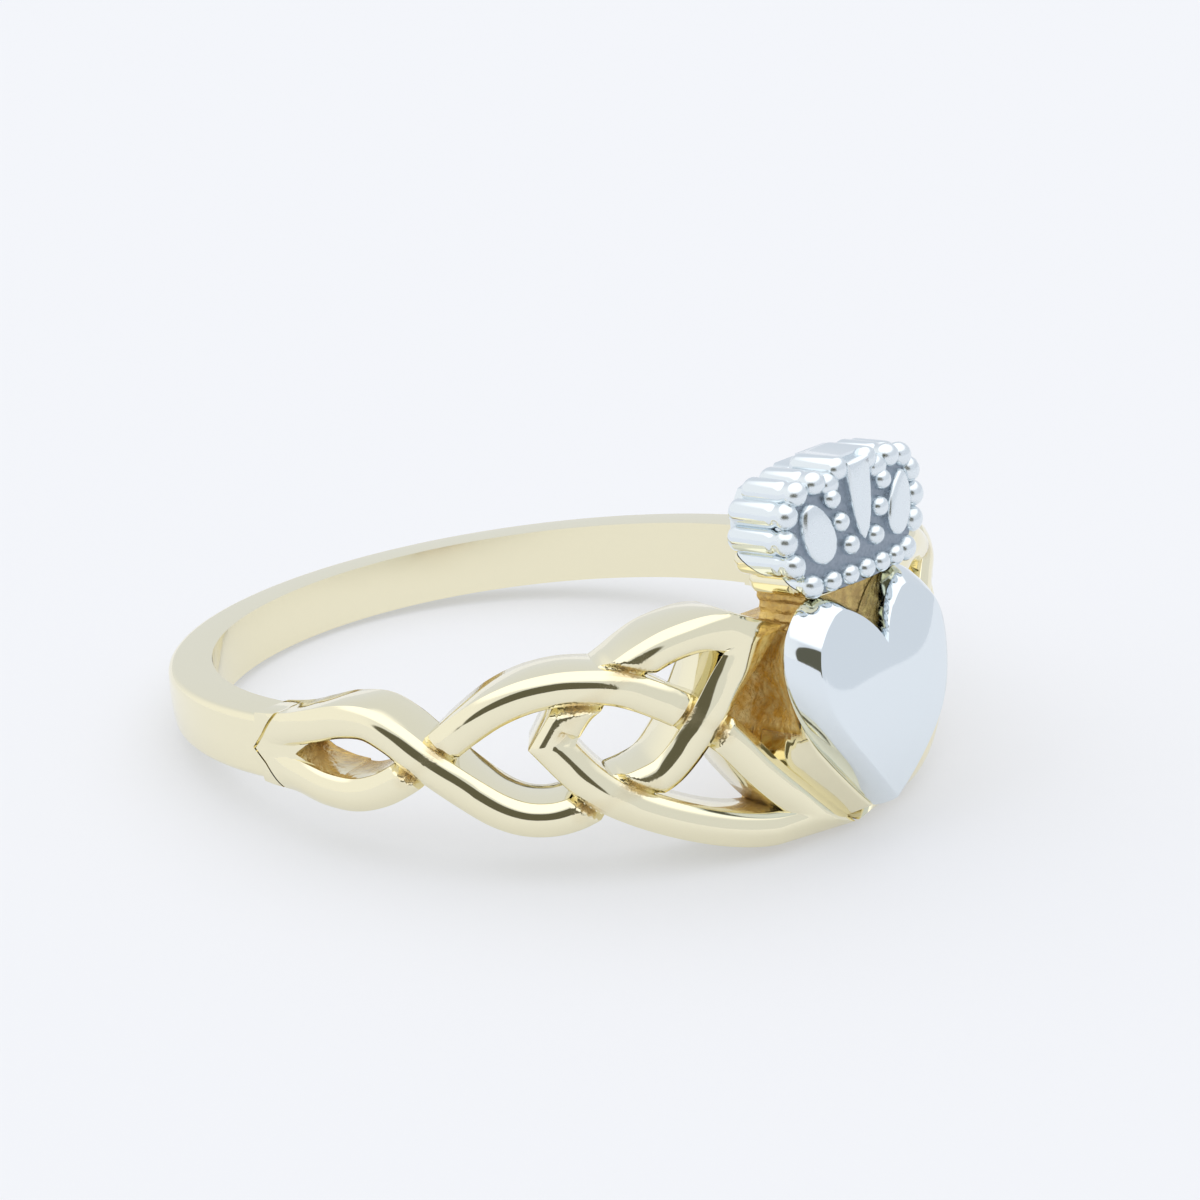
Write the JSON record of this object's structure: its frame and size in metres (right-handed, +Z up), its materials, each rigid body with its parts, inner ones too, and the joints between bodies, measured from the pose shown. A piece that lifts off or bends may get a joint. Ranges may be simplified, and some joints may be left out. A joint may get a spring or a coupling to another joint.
{
  "type": "claddagh ring",
  "caption": "Finger ring with a white gold heart and crown at the head of a yellow gold band, whose shoulders are open trinity knots.",
  "frame": {"origin": "on the ground under the middle of the ring as it lies on its side", "axes": "+Z up, -Y towards the heart and crown, the ring's two halves alike across X = 0"},
  "size_m": [0.02, 0.0224, 0.01],
  "materials": {
    "yellow_gold": "14 carat yellow gold, polished",
    "white_gold": "14 carat white gold, rhodium plated and mirror polished",
    "white_gold_oxidised": "14 carat white gold, rhodium plated, with oxidised recesses between the beads"
  },
  "bodies": {
    "root": {"band": "yellow_gold", "heart": "white_gold", "crown": "white_gold_oxidised"}
  },
  "joints": []
}
